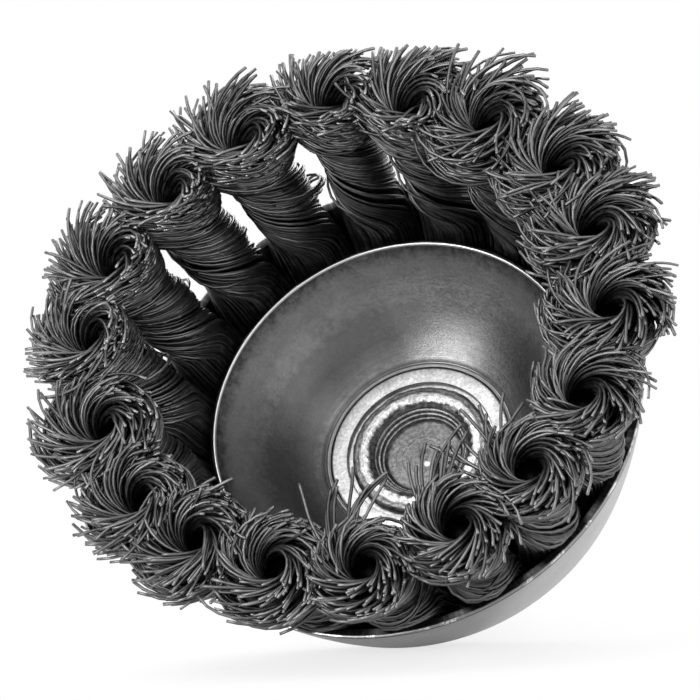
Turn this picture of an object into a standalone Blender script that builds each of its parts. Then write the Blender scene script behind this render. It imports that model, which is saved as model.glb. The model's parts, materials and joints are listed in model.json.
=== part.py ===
"""Twist-knot wire cup brush with a round shank, lying on its cup and the end of its shank.

Every piece is modelled in the brush's own frame and then laid on the floor, z = 0 in the world.
Brush frame: z runs along the brush's axis and points out of the bristle side, z = 0 is the plane
of the dish's rim, and -y is the side that comes to lie downwards. All lengths are in metres.
"""

import math

import bmesh
import bpy
from mathutils import Matrix, Vector

# Gap between pieces that touch on the real brush
SEAT_GAP = 0.0003

# Washer in the dish's seat, with a counterbore for the hub's lip
WASHER_RADIUS = 0.0122
WASHER_DROP = 0.0005
WASHER_THICKNESS = 0.0017
WASHER_LAND = 0.0021
COUNTERBORE_DEPTH = 0.0008

# Pressed inner dish, which holds the knots in
DISH_FACE_WIDTH = 0.0128
DISH_RIM_RADIUS = WASHER_RADIUS + DISH_FACE_WIDTH
DISH_DEPTH = 0.0107
DISH_SHEET = 0.0010
DISH_TURN = math.radians(34)
DISH_SHOULDER = 0.0008

# Turned hub with its shank: tube through the stack, lip rolled over the washer, flange, shank
LIP_CLEARANCE = 0.0007
LIP_OVERHANG = 0.0014
LIP_THICKNESS = 0.0008
TUBE_WALL = 0.0010
RECESS_DEPTH = 0.0025
RECESS_TAPER = 0.0019
FLANGE_WIDTH = 0.0020
FLANGE_THICKNESS = 0.0030
SHANK_RADIUS = 0.0030
SHANK_LENGTH = 0.0324
SHANK_CHAMFER = 0.0005

# Pressed outer cup: flat back, rounded corner, nearly straight wall, and a mouth round the dish
MOUTH_WIDTH = 0.0074
CUP_SHEET = 0.0014
CUP_RIM_RADIUS = DISH_RIM_RADIUS + MOUTH_WIDTH + CUP_SHEET
CUP_RIM_HEIGHT = 0.0015
CUP_WALL_HEIGHT = 0.0137
CUP_WALL_INSET = 0.0050
CUP_WALL_TURN = math.radians(8)
CUP_CORNER_WIDTH = 0.0092

# Dished plate with a hole for each knot, clamped between the dish and the outer cup
PLATE_SHEET = 0.0020
PLATE_RING_DROP = 0.0032
PLATE_FLAT_MARGIN = 0.0007
PLATE_INSET = 0.0074
PLATE_RING_WIDTH = 0.0050

# Knots of twisted wire
KNOT_COUNT = 18
FLUTE_COUNT = 6
LEG_RADIUS = 0.0015
LEG_STICK_OUT = 0.0006
SHOULDER_HALF_DEPTH = 0.0031
THROAT_HEIGHT = -0.0040
MOUTH_HEIGHT = -0.0006
KNOT_LEAN = 0.222
NECK_RADIUS = 0.0042
NECK_END = 0.0145
LIP_HEIGHT = 0.0216
LIP_LEAN = 0.10
CROWN_REACH_OUT = 0.0103
CROWN_REACH_IN = 0.0080
CROWN_HALF_WIDTH = 0.0075
SECTION_POWER = 2.4
CREST_RISE = 0.0030
CREST_HALF_WIDTH = 0.0056
HOLLOW_RADIUS = 0.0040
HOLLOW_BOTTOM_RADIUS = 0.0014
HOLLOW_DEPTH = 0.0092
FLUTE_DEPTH = 0.13
CROWN_FLUTE_DEPTH = 0.09
FLARE_SHARE = 0.6
FLARE_SPREAD = 0.45
TWIST_STEPS = 4

# Facets round a turn
SHEET_SEGMENTS = 48
HUB_SEGMENTS = 32
PLATE_SEGMENTS = 36
HOLE_SEGMENTS = 8
SHARP_ANGLE = math.radians(35)

# Radii that follow from the washer's, from the outside inwards
COUNTERBORE_RADIUS = WASHER_RADIUS - WASHER_LAND
LIP_RADIUS = COUNTERBORE_RADIUS - LIP_CLEARANCE
TUBE_RADIUS = LIP_RADIUS - LIP_OVERHANG
RECESS_RADIUS = TUBE_RADIUS - TUBE_WALL
RECESS_BOTTOM_RADIUS = RECESS_RADIUS - RECESS_TAPER
FLANGE_RADIUS = TUBE_RADIUS + FLANGE_WIDTH
STACK_HOLE_RADIUS = TUBE_RADIUS + SEAT_GAP
SEAT_RADIUS = WASHER_RADIUS + SEAT_GAP

# Radii of the knot plate, under the dish's bottom and inside the cup's wall
PLATE_FLAT_RADIUS = SEAT_RADIUS + DISH_SHEET + PLATE_FLAT_MARGIN
PLATE_RADIUS = CUP_RIM_RADIUS - PLATE_INSET
HOLE_CIRCLE_RADIUS = PLATE_RADIUS - PLATE_RING_WIDTH / 2

# Heights that follow from the stack of pieces, from the bristle side to the back
WASHER_TOP = -DISH_DEPTH - WASHER_DROP
WASHER_BOTTOM = WASHER_TOP - WASHER_THICKNESS
SEAT_FLOOR = WASHER_BOTTOM - SEAT_GAP
DISH_BOTTOM = SEAT_FLOOR - DISH_SHEET
PLATE_FLAT_TOP = DISH_BOTTOM - SEAT_GAP
CUP_FLOOR = PLATE_FLAT_TOP - PLATE_SHEET - SEAT_GAP
CUP_BACK = CUP_FLOOR - CUP_SHEET
FLANGE_TOP = CUP_BACK - SEAT_GAP
SHANK_TOP = FLANGE_TOP - FLANGE_THICKNESS
SHANK_END = SHANK_TOP - SHANK_LENGTH
SECTOR = math.pi / KNOT_COUNT


def arc(start, end, turn, count, inset=0.0):
    """Points from start to end on the arc whose direction turns by the angle turn.

    Points are (radius, height). A positive inset gives the concentric arc nearer its centre.
    """
    chord = Vector(end) - Vector(start)
    radius = chord.length / (2 * math.sin(turn / 2))
    towards_centre = Vector((-chord.y, chord.x)).normalized()
    centre = Vector(start) + chord / 2 + towards_centre * radius * math.cos(turn / 2)
    spoke = Vector(start) - centre
    points = []
    for step in range(count):
        angle = turn * step / (count - 1)
        turned = Matrix.Rotation(angle, 2) @ spoke
        points.append(tuple(centre + turned * (1 - inset / radius)))
    return points


def radius_at(points, height):
    """Radius of a profile at a height, read along its points."""
    ordered = sorted(points, key=lambda point: point[1])
    for (low_radius, low), (high_radius, high) in zip(ordered, ordered[1:]):
        if low <= height <= high:
            share = (height - low) / (high - low)
            return low_radius + share * (high_radius - low_radius)
    return ordered[-1][0] if height > ordered[-1][1] else ordered[0][0]


def height_at(points, radius):
    """Height of a profile at a radius, read along its points."""
    return radius_at([(height, distance) for distance, height in points], radius)


def dish_face(inset=0.0):
    """Curved face of the dish from its rim down to the washer's seat."""
    start = (SEAT_RADIUS + DISH_SHOULDER, -DISH_DEPTH)
    end = (DISH_RIM_RADIUS, 0.0)
    return arc(start, end, DISH_TURN, 6, inset)


def plate_ring_top():
    """Height of the knot plate's ring, which stays below the dish's underside."""
    underside = height_at(dish_face(-DISH_SHEET), PLATE_RADIUS - PLATE_RING_WIDTH)
    return underside - PLATE_RING_DROP


def cup_face(inset=0.0):
    """Face of the outer cup from its flat back round the corner and up to its rim."""
    rim = (CUP_RIM_RADIUS, CUP_RIM_HEIGHT)
    wall_foot = (CUP_RIM_RADIUS - CUP_WALL_INSET, CUP_RIM_HEIGHT - CUP_WALL_HEIGHT)
    back_edge = (wall_foot[0] - CUP_CORNER_WIDTH, CUP_BACK)
    corner_turn = 2 * math.atan2(wall_foot[1] - CUP_BACK, CUP_CORNER_WIDTH)
    corner = arc(back_edge, wall_foot, corner_turn, 6, inset)
    wall = arc(wall_foot, rim, CUP_WALL_TURN, 4, inset)
    return corner[:-1] + wall


def dish_profile():
    """Closed outline of the dish's section."""
    upper = dish_face()
    under = dish_face(-DISH_SHEET)
    seat = [(SEAT_RADIUS, SEAT_FLOOR), (STACK_HOLE_RADIUS, SEAT_FLOOR)]
    bottom = [(STACK_HOLE_RADIUS, DISH_BOTTOM), (SEAT_RADIUS + DISH_SHEET, DISH_BOTTOM)]
    return seat + bottom + under + upper[::-1]


def cup_profile():
    """Closed outline of the cup's section."""
    outer = cup_face()
    inner = cup_face(CUP_SHEET)
    return [(STACK_HOLE_RADIUS, CUP_FLOOR), (STACK_HOLE_RADIUS, CUP_BACK)] + outer + inner[::-1]


def washer_profile():
    """Closed outline of the washer's section, with its counterbore."""
    floor = WASHER_TOP - COUNTERBORE_DEPTH
    return [
        (STACK_HOLE_RADIUS, floor),
        (STACK_HOLE_RADIUS, WASHER_BOTTOM),
        (WASHER_RADIUS, WASHER_BOTTOM),
        (WASHER_RADIUS, WASHER_TOP),
        (COUNTERBORE_RADIUS, WASHER_TOP),
        (COUNTERBORE_RADIUS, floor),
    ]


def plate_profile():
    """Closed outline of the knot plate's section: clamped flat, cone and outer ring."""
    ring_top = plate_ring_top()
    upper = [
        (STACK_HOLE_RADIUS, PLATE_FLAT_TOP),
        (PLATE_FLAT_RADIUS, PLATE_FLAT_TOP),
        (PLATE_RADIUS - PLATE_RING_WIDTH, ring_top),
        (PLATE_RADIUS, ring_top),
    ]
    lower = [(radius, height - PLATE_SHEET) for radius, height in upper]
    return upper[::-1] + lower


def hub_profile():
    """Outline of the hub from its recess round to the end of the shank, open at the axis."""
    lip_under = WASHER_TOP - COUNTERBORE_DEPTH + SEAT_GAP
    lip_top = lip_under + LIP_THICKNESS
    recess_floor = lip_top - RECESS_DEPTH
    round_off = LIP_THICKNESS / 2
    return [
        (RECESS_BOTTOM_RADIUS, recess_floor),
        (RECESS_RADIUS, lip_top - round_off),
        (RECESS_RADIUS + round_off, lip_top),
        (LIP_RADIUS - round_off, lip_top),
        (LIP_RADIUS, lip_top - round_off),
        (LIP_RADIUS, lip_under),
        (TUBE_RADIUS, lip_under),
        (TUBE_RADIUS, FLANGE_TOP),
        (FLANGE_RADIUS, FLANGE_TOP),
        (FLANGE_RADIUS, SHANK_TOP),
        (SHANK_RADIUS, SHANK_TOP),
        (SHANK_RADIUS, SHANK_END + SHANK_CHAMFER),
        (SHANK_RADIUS - SHANK_CHAMFER, SHANK_END),
    ]


def ring_of(mesh, radius, height, segments):
    """Vertices on a circle round the brush's axis, with the middle of a facet at the lowest side."""
    ring = []
    for step in range(segments):
        angle = 2 * math.pi * (step + 0.5) / segments
        ring.append(mesh.verts.new((radius * math.cos(angle), radius * math.sin(angle), height)))
    return ring


def bridge(mesh, first, second):
    """Faces between two rings with the same number of vertices."""
    count = len(first)
    for step in range(count):
        after = (step + 1) % count
        mesh.faces.new((first[step], first[after], second[after], second[step]))


def finished(mesh, name):
    """Mesh data with its faces pointing out and smooth shading up to the sharp angle."""
    bmesh.ops.recalc_face_normals(mesh, faces=mesh.faces)
    data = bpy.data.meshes.new(name)
    mesh.to_mesh(data)
    mesh.free()
    data.shade_smooth()
    data.set_sharp_from_angle(angle=SHARP_ANGLE)
    return data


def turned_mesh(name, profile, segments, solid=False):
    """Profile turned round the brush's axis: a ring, or a solid closed at both ends."""
    mesh = bmesh.new()
    rings = [ring_of(mesh, radius, height, segments) for radius, height in profile]
    for first, second in zip(rings, rings[1:]):
        bridge(mesh, first, second)
    if solid:
        mesh.faces.new(rings[0])
        mesh.faces.new(rings[-1])
    else:
        bridge(mesh, rings[-1], rings[0])
    return finished(mesh, name)


def metal(name, shade, roughness):
    """Grey metal; shade is the grey value of its base colour."""
    material = bpy.data.materials.new(name)
    material.use_nodes = True
    shader = material.node_tree.nodes["Principled BSDF"]
    shader.inputs["Base Color"].default_value = (shade, shade, shade, 1.0)
    shader.inputs["Metallic"].default_value = 1.0
    shader.inputs["Roughness"].default_value = roughness
    return material


def add_piece(name, data, material, root, angle=0.0):
    """Object for one sub-part, turned round the brush's axis and carried by the root."""
    piece = bpy.data.objects.new(name, data)
    if not data.materials:
        data.materials.append(material)
    piece.rotation_euler.z = angle
    piece.parent = root
    bpy.context.scene.collection.objects.link(piece)
    return piece


def drill_plate(plate, root):
    """Cut one hole through the plate's ring for each knot's leg."""
    mesh = bmesh.new()
    radius = (LEG_RADIUS + SEAT_GAP) / math.cos(math.pi / HOLE_SEGMENTS)
    middle = plate_ring_top() - PLATE_SHEET / 2
    for knot in range(KNOT_COUNT):
        place = Matrix.Rotation(knot_angle(knot), 4, "Z") @ Matrix.Translation(
            (HOLE_CIRCLE_RADIUS, 0.0, middle))
        bmesh.ops.create_cone(mesh, cap_ends=True, segments=HOLE_SEGMENTS, radius1=radius,
                              radius2=radius, depth=3 * PLATE_SHEET, matrix=place)
    data = bpy.data.meshes.new("hole_cutter")
    mesh.to_mesh(data)
    mesh.free()
    cutter = bpy.data.objects.new("hole_cutter", data)
    cutter.parent = root
    cutter.hide_render = True
    cutter.display_type = "WIRE"
    bpy.context.scene.collection.objects.link(cutter)
    holes = plate.modifiers.new("holes", "BOOLEAN")
    holes.operation = "DIFFERENCE"
    holes.solver = "EXACT"
    holes.object = cutter


def knot_angle(knot):
    """Place of a knot round the axis: the lowest point of the ring lies between two knots."""
    return -math.pi / 2 + SECTOR * (2 * knot + 1)


def held_station(height, side):
    """Knot section squeezed between the dish and the cup: height, centre, out, in, half width."""
    dish_side = radius_at(dish_face(-DISH_SHEET), height) + SEAT_GAP
    cup_side = radius_at(cup_face(CUP_SHEET), height) - SEAT_GAP
    centre = (dish_side + cup_side) / 2
    half_depth = (cup_side - dish_side) / 2
    return (height, centre, half_depth, half_depth, side)


def knot_stations():
    """Sections up the knot, then over its crown and down into the hollow.

    Each is (height, centre radius, reach outwards, reach inwards, half width, lean, flute, turn),
    where turn is the angle of the twist in steps of one flute.
    """
    shoulder = plate_ring_top() + SEAT_GAP
    leg_end = plate_ring_top() - PLATE_SHEET - LEG_STICK_OUT
    mouth = held_station(MOUTH_HEIGHT, CROWN_HALF_WIDTH)
    throat = held_station(THROAT_HEIGHT, CROWN_HALF_WIDTH)
    leg = (LEG_RADIUS, LEG_RADIUS, LEG_RADIUS)
    stations = [
        (leg_end, HOLE_CIRCLE_RADIUS) + leg + (0.0, 0.0, 0.0),
        (shoulder, HOLE_CIRCLE_RADIUS) + leg + (0.0, 0.0, 0.0),
        (shoulder, HOLE_CIRCLE_RADIUS, SHOULDER_HALF_DEPTH, SHOULDER_HALF_DEPTH,
         SHOULDER_HALF_DEPTH, 0.0, 0.0, 0.0),
        throat + (0.0, 0.0, 0.0),
        mouth + (0.0, FLUTE_DEPTH / 3, 0.0),
    ]

    def centre_at(height):
        return mouth[1] + KNOT_LEAN * (height - MOUTH_HEIGHT)

    turn_rate = TWIST_STEPS / (LIP_HEIGHT - MOUTH_HEIGHT)
    exit_height = CUP_RIM_HEIGHT + SEAT_GAP
    exit_centre = centre_at(exit_height)
    exit_reach = radius_at(cup_face(CUP_SHEET), CUP_RIM_HEIGHT) - SEAT_GAP - exit_centre
    stations.append((exit_height, exit_centre, exit_reach, mouth[2], CROWN_HALF_WIDTH,
                     0.0, FLUTE_DEPTH / 2, turn_rate * (exit_height - MOUTH_HEIGHT)))
    neck_levels = 3
    for level in range(1, neck_levels + 1):
        share = level / neck_levels
        height = exit_height + share * (NECK_END - exit_height)
        depth = mouth[2] + (NECK_RADIUS - mouth[2]) * math.sin(share * math.pi / 2)
        turn = turn_rate * (height - MOUTH_HEIGHT)
        stations.append((height, centre_at(height), depth, depth, NECK_RADIUS,
                         KNOT_LEAN, FLUTE_DEPTH, turn))
    flare = NECK_END + FLARE_SHARE * (LIP_HEIGHT - NECK_END)
    stations.append((flare, centre_at(flare),
                     NECK_RADIUS + FLARE_SPREAD * (CROWN_REACH_OUT - NECK_RADIUS),
                     NECK_RADIUS + FLARE_SPREAD * (CROWN_REACH_IN - NECK_RADIUS),
                     NECK_RADIUS + FLARE_SPREAD * (CROWN_HALF_WIDTH - NECK_RADIUS),
                     KNOT_LEAN, FLUTE_DEPTH, turn_rate * (flare - MOUTH_HEIGHT)))
    stations.append((LIP_HEIGHT, centre_at(LIP_HEIGHT), CROWN_REACH_OUT, CROWN_REACH_IN,
                     CROWN_HALF_WIDTH, LIP_LEAN, CROWN_FLUTE_DEPTH, TWIST_STEPS))
    crest_height = LIP_HEIGHT + CREST_RISE
    crest_centre = centre_at(crest_height)
    stations.append((crest_height, crest_centre, CREST_HALF_WIDTH, CREST_HALF_WIDTH,
                     CREST_HALF_WIDTH, KNOT_LEAN, CROWN_FLUTE_DEPTH, TWIST_STEPS - 1.0))
    hollow_edge = crest_height - HOLLOW_RADIUS / 3
    stations.append((hollow_edge, crest_centre, HOLLOW_RADIUS, HOLLOW_RADIUS, HOLLOW_RADIUS,
                     KNOT_LEAN, 0.0, TWIST_STEPS - 1.4))
    hollow_bottom = crest_height - HOLLOW_DEPTH
    stations.append((hollow_bottom, centre_at(hollow_bottom), HOLLOW_BOTTOM_RADIUS,
                     HOLLOW_BOTTOM_RADIUS, HOLLOW_BOTTOM_RADIUS, KNOT_LEAN, 0.0, TWIST_STEPS - 2.0))
    return stations


def knot_ring_vertices(mesh, station):
    """One section of the knot: an egg with flutes, kept inside the knot's own sector."""
    height, centre, reach_out, reach_in, half_width, lean, flute, turn = station
    sides = 2 * FLUTE_COUNT
    flute_step = 2 * math.pi / FLUTE_COUNT
    ring = []
    for side in range(sides):
        angle = 2 * math.pi * side / sides - turn * flute_step
        reach = reach_out if math.cos(angle) > 0 else reach_in
        along = abs(math.cos(angle) / reach) ** SECTION_POWER
        across = abs(math.sin(angle) / half_width) ** SECTION_POWER
        radius = (along + across) ** (-1 / SECTION_POWER)
        if side % 2:
            radius *= 1 - flute
        x = centre + radius * math.cos(angle)
        limit = x * math.tan(SECTOR) - SEAT_GAP / 2 / math.cos(SECTOR)
        y = max(-limit, min(limit, radius * math.sin(angle)))
        ring.append(mesh.verts.new((x, y, height - lean * (x - centre))))
    return ring


def knot_mesh():
    """Twisted bundle with a flared crown round a hollow, in the sector round the +x direction."""
    mesh = bmesh.new()
    rings = [knot_ring_vertices(mesh, station) for station in knot_stations()]
    for first, second in zip(rings, rings[1:]):
        bridge(mesh, first, second)
    mesh.faces.new(rings[0])
    mesh.faces.new(rings[-1])
    return finished(mesh, "knot")


def outline_points(pieces):
    """Side view of the brush: each vertex as (height along the axis, distance downwards)."""
    points = set()
    for piece in pieces:
        turn = Matrix.Rotation(piece.rotation_euler.z, 4, "Z")
        for vertex in piece.data.vertices:
            place = turn @ vertex.co
            points.add((place.z, -place.y))
    return sorted(points)


def lying_slope(pieces):
    """Slope between the axis and the floor: the longest edge under the side view's hull."""
    hull = []
    for point in outline_points(pieces):
        while len(hull) > 1:
            (z0, d0), (z1, d1) = hull[-2], hull[-1]
            if (d1 - d0) * (point[0] - z0) > (point[1] - d0) * (z1 - z0):
                break
            hull.pop()
        hull.append(point)
    edges = list(zip(hull, hull[1:]))
    (z0, d0), (z1, d1) = max(edges, key=lambda edge: edge[1][0] - edge[0][0])
    return math.atan2(d1 - d0, z1 - z0)


def lay_on_floor(root, pieces):
    """Tilt the brush onto the floor and centre its box over the origin."""
    root.rotation_euler.x = math.pi / 2 - lying_slope(pieces)
    tilt = Matrix.Rotation(root.rotation_euler.x, 3, "X")
    corners = []
    for piece in pieces:
        turn = tilt @ Matrix.Rotation(piece.rotation_euler.z, 3, "Z")
        corners += [turn @ vertex.co for vertex in piece.data.vertices]
    low = [min(corner[axis] for corner in corners) for axis in range(3)]
    high = [max(corner[axis] for corner in corners) for axis in range(3)]
    root.location = (-(low[0] + high[0]) / 2, -(low[1] + high[1]) / 2, -low[2])


def clear_scene():
    for item in list(bpy.data.objects):
        bpy.data.objects.remove(item, do_unlink=True)


def build():
    clear_scene()
    root = bpy.data.objects.new("brush", None)
    bpy.context.scene.collection.objects.link(root)

    wire = metal("wire_steel", 0.10, 0.42)
    cup_steel = metal("cup_steel", 0.42, 0.38)
    dish_steel = metal("dish_steel", 0.30, 0.35)
    washer_steel = metal("washer_steel", 0.80, 0.30)
    hub_steel = metal("hub_steel", 0.45, 0.30)

    cup = add_piece("outer_cup", turned_mesh("outer_cup", cup_profile(), SHEET_SEGMENTS),
                    cup_steel, root)
    dish = add_piece("inner_dish", turned_mesh("inner_dish", dish_profile(), SHEET_SEGMENTS),
                     dish_steel, root)
    washer = add_piece("clamp_washer",
                       turned_mesh("clamp_washer", washer_profile(), HUB_SEGMENTS),
                       washer_steel, root)
    hub = add_piece("shank_hub", turned_mesh("shank_hub", hub_profile(), HUB_SEGMENTS, solid=True),
                    hub_steel, root)
    plate = add_piece("knot_ring", turned_mesh("knot_ring", plate_profile(), PLATE_SEGMENTS),
                      cup_steel, root)
    drill_plate(plate, root)

    knot_data = knot_mesh()
    knots = []
    for knot in range(KNOT_COUNT):
        name = "knot_{:02d}".format(knot + 1)
        knots.append(add_piece(name, knot_data, wire, root, knot_angle(knot)))

    lay_on_floor(root, [cup, dish, washer, hub] + knots)


build()
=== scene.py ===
"""Looks of the twist-knot wire cup brush: wires, pressed and turned steel, studio and camera."""

import json
import math
from collections import namedtuple

import bpy
import numpy as np
from mathutils import Matrix, Vector


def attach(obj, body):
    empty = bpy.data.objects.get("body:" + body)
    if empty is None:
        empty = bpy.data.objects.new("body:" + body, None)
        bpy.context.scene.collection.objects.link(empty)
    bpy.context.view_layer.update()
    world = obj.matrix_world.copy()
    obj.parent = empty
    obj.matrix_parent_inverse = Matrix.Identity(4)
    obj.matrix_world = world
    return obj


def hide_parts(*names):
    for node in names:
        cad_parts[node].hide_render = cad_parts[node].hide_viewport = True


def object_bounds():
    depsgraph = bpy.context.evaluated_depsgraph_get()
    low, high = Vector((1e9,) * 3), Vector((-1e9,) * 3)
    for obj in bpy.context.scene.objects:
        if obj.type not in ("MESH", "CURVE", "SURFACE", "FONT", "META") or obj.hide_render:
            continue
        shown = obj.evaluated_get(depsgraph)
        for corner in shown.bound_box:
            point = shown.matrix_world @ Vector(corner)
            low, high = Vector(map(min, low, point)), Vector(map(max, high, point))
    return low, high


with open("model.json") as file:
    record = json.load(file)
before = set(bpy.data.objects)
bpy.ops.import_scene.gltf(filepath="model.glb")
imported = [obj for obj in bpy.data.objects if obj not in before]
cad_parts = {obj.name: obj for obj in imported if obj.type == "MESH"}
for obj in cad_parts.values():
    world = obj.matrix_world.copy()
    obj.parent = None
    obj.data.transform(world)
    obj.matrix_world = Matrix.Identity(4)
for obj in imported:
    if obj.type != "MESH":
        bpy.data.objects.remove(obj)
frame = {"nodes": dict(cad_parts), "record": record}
CAD_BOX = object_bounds()

MM = 0.001

# The brush's frame: z along its axis with 0 at the dish's rim, -y the side that lies down
SHANK_END_HEIGHT = -53.9 * MM

# Knots, as in the solids. A knot is a flat oval at the dish's mouth and round from NECK_START on
KNOT_COUNT = 18
SECTOR = math.pi / KNOT_COUNT
MOUTH_HEIGHT = -0.6 * MM
MOUTH_CENTRE = 29.15 * MM
MOUTH_DEPTH = 2.85 * MM
MOUTH_WIDTH = 4.85 * MM
THROAT_LEAN = 0.42
KNOT_LEAN = 0.222
NECK_RADIUS = 4.15 * MM
NECK_START = 7.0 * MM
CROWN_RADIUS = 43.75 * MM

# The crown leans less than the knot's neck
CROWN_LEAN = 0.03
LEAN_START = 15.0 * MM
LEAN_END = 21.5 * MM


def brush_matrix():
    """Place of the brush's frame in the world, from the record's mount on the shank's end."""
    mount = frame["record"]["mounts"][0]
    axis = -Vector(mount["axis"]).normalized()
    origin = Vector(mount["pos_m"]) - axis * SHANK_END_HEIGHT
    side = Vector((1.0, 0.0, 0.0))
    up = axis.cross(side)
    matrix = Matrix((side, up, axis)).transposed().to_4x4()
    matrix.translation = origin
    return matrix


BRUSH = brush_matrix()


def knot_angle(knot):
    """Place of a knot round the brush's axis."""
    return -math.pi / 2 + SECTOR * (2 * knot + 1)


# Nodes

# The range that most of a noise texture's values lie in
NOISE_LOW, NOISE_HIGH = 0.3, 0.7


def grey(value):
    return (value, value, value, 1.0)


class Tree:
    """Short calls for the nodes of a material or a world. They return the sockets to link from."""

    def __init__(self, owner):
        owner.use_nodes = True
        self.nodes, self.links = owner.node_tree.nodes, owner.node_tree.links

    def feed(self, node, inputs):
        """Set a node's inputs to values, or link them to sockets."""
        for key, value in inputs.items():
            if isinstance(value, bpy.types.NodeSocket):
                self.links.new(value, node.inputs[key])
            else:
                node.inputs[key].default_value = value

    def add(self, kind, inputs=None, **settings):
        node = self.nodes.new("ShaderNode" + kind)
        for key, value in settings.items():
            setattr(node, key, value)
        self.feed(node, inputs or {})
        return node

    def maths(self, operation, *values):
        return self.add("Math", dict(enumerate(values)), operation=operation).outputs[0]

    def times(self, first, second):
        return self.maths("MULTIPLY", first, second)

    def plus(self, first, second, weight=None):
        """Sum of the first and the second, which may be weighted."""
        return self.maths("ADD", first, second if weight is None else self.times(second, weight))

    def largest(self, first, second):
        return self.maths("MAXIMUM", first, second)

    def noise(self, vector, scale, detail=3.0, roughness=0.55):
        inputs = {"Vector": vector, "Scale": scale, "Detail": detail, "Roughness": roughness}
        return self.add("TexNoise", inputs).outputs["Fac"]

    def map_range(self, value, low, high, out_low=0.0, out_high=1.0):
        inputs = {"Value": value, "From Min": low, "From Max": high,
                  "To Min": out_low, "To Max": out_high}
        return self.add("MapRange", inputs).outputs["Result"]

    def spread(self, noise, out_low, out_high):
        """A noise brought to a range of its own."""
        return self.map_range(noise, NOISE_LOW, NOISE_HIGH, out_low, out_high)

    def ramp(self, value, stops):
        """Colour ramp from (position, grey) pairs."""
        node = self.add("ValToRGB", {"Fac": value})
        elements = node.color_ramp.elements
        while len(elements) < len(stops):
            elements.new(0.5)
        for element, (position, tone) in zip(elements, stops):
            element.position = position
            element.color = grey(tone)
        return node.outputs["Color"]

    def multiply(self, first, second, share=1.0):
        """Product of two colours."""
        return self.add("Mix", {"Factor": share, "A": first, "B": second},
                        data_type="RGBA", blend_type="MULTIPLY").outputs["Result"]

    def blend(self, first, second, share):
        """The first colour, which turns to the second where share is 1."""
        return self.add("Mix", {"Factor": share, "A": first, "B": second},
                        data_type="RGBA").outputs["Result"]

    def bump(self, height, strength, distance):
        inputs = {"Height": height, "Strength": strength, "Distance": distance}
        return self.add("Bump", inputs).outputs["Normal"]

    def brush_coordinates(self):
        """Vector, radius from the axis and height, in the brush's frame, in metres."""
        world = self.add("TexCoord").outputs["Object"]
        inputs = {"Vector": world, "Location": BRUSH.translation, "Rotation": BRUSH.to_euler()}
        vector = self.add("Mapping", inputs, vector_type="TEXTURE").outputs["Vector"]
        split = self.add("SeparateXYZ", {"Vector": vector}).outputs
        total = self.plus(self.times(split["X"], split["X"]), self.times(split["Y"], split["Y"]))
        return vector, self.maths("SQRT", total), split["Z"]

    def ring_vector(self, radius, height):
        """Vector that varies only with radius and height, so a texture on it makes circles."""
        return self.add("CombineXYZ", {"X": radius, "Y": height}).outputs["Vector"]

    def angle_vector(self, vector, scale):
        """Vector that varies with the angle round the axis, so a texture on it makes streaks."""
        split = self.add("SeparateXYZ", {"Vector": vector}).outputs
        angle = self.maths("ARCTAN2", split["Y"], split["X"])
        return self.add("CombineXYZ", {"X": self.times(angle, scale)}).outputs["Vector"]

    def spot(self, vector, centre, size):
        """1 round the centre and 0 beyond the size."""
        away = self.add("VectorMath", {0: vector, 1: centre}, operation="DISTANCE")
        return self.map_range(away.outputs["Value"], size * 0.5, size, 1.0, 0.0)


# Materials. The grey values and noise scales are chosen against the photo

WIRE_TONE = "wire_tone"
PART_TONE = "part_tone"

# Bright worn metal at edges, chips and gouges, which on the rounded rims is partly a painted
# highlight
WORN_EDGE_AND_HIGHLIGHT = grey(0.9)
GOUGED = grey(0.95)

# Bright chips on the cup's rim: angle in degrees and size in mm
CUP_RIM_RADIUS = 33.4 * MM
CUP_RIM_HEIGHT = 1.4 * MM
RIM_CHIPS = ((-71.4, 1.7), (-52.2, 1.1), (-42.9, 0.9), (-33.8, 0.9), (-89.3, 0.9))

# Bright gouges on the hub's lip and floor: place in the brush's frame and size, in mm
GOUGES = ((-4.52, -4.71, -11.2, 1.4), (-3.17, -5.67, -11.2, 1.2),
          (6.30, -4.39, -11.4, 1.1), (0.50, -1.09, -13.2, 0.5))


def new_metal(name):
    """A metallic material, its tree and its shader."""
    material = bpy.data.materials.new(name)
    tree = Tree(material)
    shader = tree.nodes["Principled BSDF"]
    shader.inputs["Metallic"].default_value = 1.0
    return material, tree, shader


def wire_material():
    """Dark drawn steel; each wire has its own tone, and cut ends are brighter. Some knots' brighter
    ends are a painted highlight and the core's near-black tone is painted shade.
    """
    material, tree, shader = new_metal("wire_steel")
    tone = tree.add("Attribute", attribute_name=WIRE_TONE).outputs["Color"]
    grain = tree.noise(tree.add("TexCoord").outputs["Object"], 900.0)
    mottle = tree.ramp(grain, ((0.3, 0.55), (0.7, 1.3)))
    tree.feed(shader, {"Base Color": tree.multiply(tone, mottle, 0.5),
                       "Roughness": tree.spread(grain, 0.36, 0.50)})
    return material


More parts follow.
